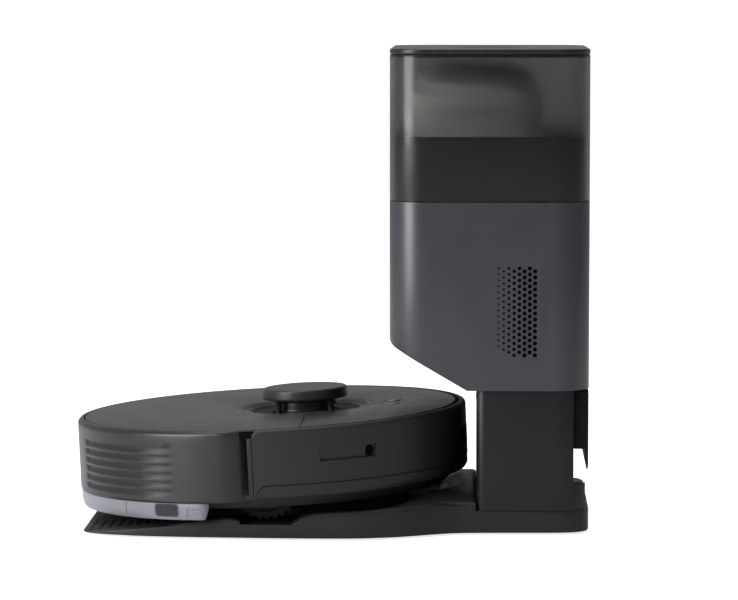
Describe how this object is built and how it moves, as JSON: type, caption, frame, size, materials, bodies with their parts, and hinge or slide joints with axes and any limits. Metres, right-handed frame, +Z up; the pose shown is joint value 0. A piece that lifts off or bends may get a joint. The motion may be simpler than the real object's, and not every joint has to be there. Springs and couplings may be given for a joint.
{
  "type": "robot vacuum",
  "caption": "Round robot vacuum with a laser turret and clip-on mop, standing on the ramp of its tall self-emptying dock.",
  "frame": {"origin": "centre of the whole docked set on the floor", "axes": "+X is the way the robot drives onto the dock, towards the tower; +Y is the robot's left; +Z is up"},
  "size_m": [0.4562, 0.351, 0.4215],
  "materials": {
    "shell_charcoal": "fine matte charcoal moulding",
    "plate_charcoal": "satin dark grey moulding",
    "housing_slate": "satin slate-grey moulding",
    "dark_moulding": "fine matte near-black moulding",
    "dock_charcoal": "matte charcoal moulding",
    "smoked_clear": "smoked clear plastic",
    "milky_clear": "milky translucent plastic",
    "black_rubber": "matte black rubber",
    "bare_metal": "plain metal",
    "microfibre": "grey microfibre",
    "bag_paper": "beige non-woven paper",
    "collar_card": "brown card",
    "filter_media": "pleated white filter paper",
    "battery_wrap": "heat-shrunk cell pack",
    "circuit_board": "green lacquered board"
  },
  "bodies": {
    "dock": {"dock_base": "dock_charcoal", "dock_foot_front_right": "black_rubber", "dock_foot_front_left": "black_rubber", "dock_foot_rear_right": "black_rubber", "dock_foot_rear_left": "black_rubber", "suction_port_seal": "black_rubber", "base_duct": "dark_moulding", "dock_column": "dark_moulding", "ir_window": "smoked_clear", "cable_hook": "dark_moulding", "power_inlet": "dark_moulding", "dock_circuit_board": "circuit_board", "dock_housing": "housing_slate", "vent_grille_right": "dark_moulding", "vent_grille_left": "dark_moulding", "duct_riser": "dark_moulding", "blower_motor": "bare_metal", "exhaust_filter": "filter_media", "bag_tray": "dark_moulding"},
    "blower_rotor": {"blower_impeller": "dark_moulding"},
    "bag": {"bag_collar": "collar_card", "dust_bag": "bag_paper"},
    "cover": {"dock_cover": "smoked_clear", "cover_lid": "dark_moulding"},
    "contact_r": {"charge_contact_right": "bare_metal"},
    "contact_l": {"charge_contact_left": "bare_metal"},
    "robot": {"chassis": "dark_moulding", "rear_shell": "shell_charcoal", "front_cover": "plate_charcoal", "turret_base": "dark_moulding", "turret_cap": "plate_charcoal", "top_deck": "dark_moulding", "battery": "battery_wrap", "main_board": "circuit_board", "fan_housing": "dark_moulding", "brush_cover": "shell_charcoal", "side_brush_motor": "bare_metal", "charge_pad_right": "bare_metal", "charge_pad_left": "bare_metal"},
    "fan_rotor": {"fan_impeller": "dark_moulding"},
    "top_lid": {"lid": "plate_charcoal"},
    "bumper_ring": {"bumper": "dark_moulding", "wall_sensor_window": "smoked_clear"},
    "lidar": {"lidar_rotor": "dark_moulding"},
    "power_key": {"power_button": "dark_moulding"},
    "home_key": {"home_button": "dark_moulding"},
    "bin": {"dust_bin": "smoked_clear", "dust_filter": "filter_media"},
    "mop": {"mop_bracket": "milky_clear", "mop_cloth": "microfibre"},
    "arm_r": {"wheel_arm_right": "dark_moulding"},
    "arm_l": {"wheel_arm_left": "dark_moulding"},
    "wheel_r": {"wheel_hub_right": "shell_charcoal", "tyre_right": "black_rubber"},
    "wheel_l": {"wheel_hub_left": "shell_charcoal", "tyre_left": "black_rubber"},
    "caster_swivel_body": {"caster_fork": "dark_moulding"},
    "caster_roller": {"caster_wheel": "black_rubber"},
    "brush_roll": {"main_brush": "black_rubber"},
    "side_brush_body": {"side_brush": "dark_moulding"}
  },
  "joints": [
    {"name": "robot_drive_off", "type": "slide", "parent": "dock", "child": "robot", "axis": [-1, 0, 0], "range_m": [0, 0.42]},
    {"name": "blower_spin", "type": "hinge", "parent": "dock", "child": "blower_rotor", "pos_m": [0.111, 0, 0.24], "axis": [0, 0, 1], "continuous": true},
    {"name": "cover_lift", "type": "slide", "parent": "dock", "child": "cover", "axis": [0, 0, 1], "range_m": [0, 0.14]},
    {"name": "bag_lift", "type": "slide", "parent": "dock", "child": "bag", "axis": [0, 0, 1], "range_m": [0, 0.065]},
    {"name": "contact_press_r", "type": "slide", "parent": "dock", "child": "contact_r", "axis": [0, 0, -1], "range_m": [0, 0.0015], "stiffness_N_per_m": 150, "springref_m": -0.004},
    {"name": "contact_press_l", "type": "slide", "parent": "dock", "child": "contact_l", "axis": [0, 0, -1], "range_m": [0, 0.0015], "stiffness_N_per_m": 150, "springref_m": -0.004},
    {"name": "lid_hinge", "type": "hinge", "parent": "robot", "child": "top_lid", "pos_m": [-0.0214, 0, 0.10014], "axis": [0, 1, 0], "range_deg": [0, 75]},
    {"name": "bin_lift", "type": "slide", "parent": "robot", "child": "bin", "axis": [-0.0461, 0, 0.9989], "range_m": [0, 0.0725]},
    {"name": "bumper_press", "type": "slide", "parent": "robot", "child": "bumper_ring", "axis": [-0.9989, 0, -0.0461], "range_m": [0, 0.0025], "stiffness_N_per_m": 500, "springref_m": -0.003},
    {"name": "power_press", "type": "slide", "parent": "robot", "child": "power_key", "axis": [0.0461, 0, -0.9989], "range_m": [0, 0.001], "stiffness_N_per_m": 200, "springref_m": -0.002},
    {"name": "home_press", "type": "slide", "parent": "robot", "child": "home_key", "axis": [0.0461, 0, -0.9989], "range_m": [0, 0.001], "stiffness_N_per_m": 200, "springref_m": -0.002},
    {"name": "lidar_spin", "type": "hinge", "parent": "robot", "child": "lidar", "pos_m": [-0.02372, 0, 0.10054], "axis": [-0.0461, 0, 0.9989], "continuous": true},
    {"name": "mop_pull", "type": "slide", "parent": "robot", "child": "mop", "axis": [-0.9989, 0, -0.0461], "range_m": [0, 0.13]},
    {"name": "suspension_r", "type": "hinge", "parent": "robot", "child": "arm_r", "pos_m": [-0.09598, -0.11, 0.06117], "axis": [0, -1, 0], "range_deg": [0, 10], "stiffness_Nm_per_rad": 2, "springref_deg": -17.19},
    {"name": "wheel_spin_r", "type": "hinge", "parent": "arm_r", "child": "wheel_r", "pos_m": [-0.05337, -0.11, 0.04892], "axis": [0, 1, 0], "continuous": true},
    {"name": "suspension_l", "type": "hinge", "parent": "robot", "child": "arm_l", "pos_m": [-0.09598, 0.11, 0.06117], "axis": [0, -1, 0], "range_deg": [0, 10], "stiffness_Nm_per_rad": 2, "springref_deg": -17.19},
    {"name": "wheel_spin_l", "type": "hinge", "parent": "arm_l", "child": "wheel_l", "pos_m": [-0.05337, 0.11, 0.04892], "axis": [0, 1, 0], "continuous": true},
    {"name": "caster_turn", "type": "hinge", "parent": "robot", "child": "caster_swivel_body", "pos_m": [0.06923, 0, 0.03875], "axis": [-0.0461, 0, 0.9989], "continuous": true},
    {"name": "caster_roll", "type": "hinge", "parent": "caster_swivel_body", "child": "caster_roller", "pos_m": [0.06541, 0, 0.03458], "axis": [0, 1, 0], "continuous": true},
    {"name": "brush_spin", "type": "hinge", "parent": "robot", "child": "brush_roll", "pos_m": [0.00599, 0, 0.04235], "axis": [0, 1, 0], "continuous": true},
    {"name": "side_brush_spin", "type": "hinge", "parent": "robot", "child": "side_brush_body", "pos_m": [0.04752, 0.105, 0.03175], "axis": [-0.0461, 0, 0.9989], "continuous": true},
    {"name": "fan_spin", "type": "hinge", "parent": "robot", "child": "fan_rotor", "pos_m": [-0.07359, -0.057, 0.05319], "axis": [-0.0461, 0, 0.9989], "continuous": true}
  ],
  "couplings": [
    {"joint": "bag_lift", "follows": "cover_lift", "ratio": 0.45},
    {"joint": "bin_lift", "follows": "lid_hinge", "m_per_rad": 0.055}
  ]
}
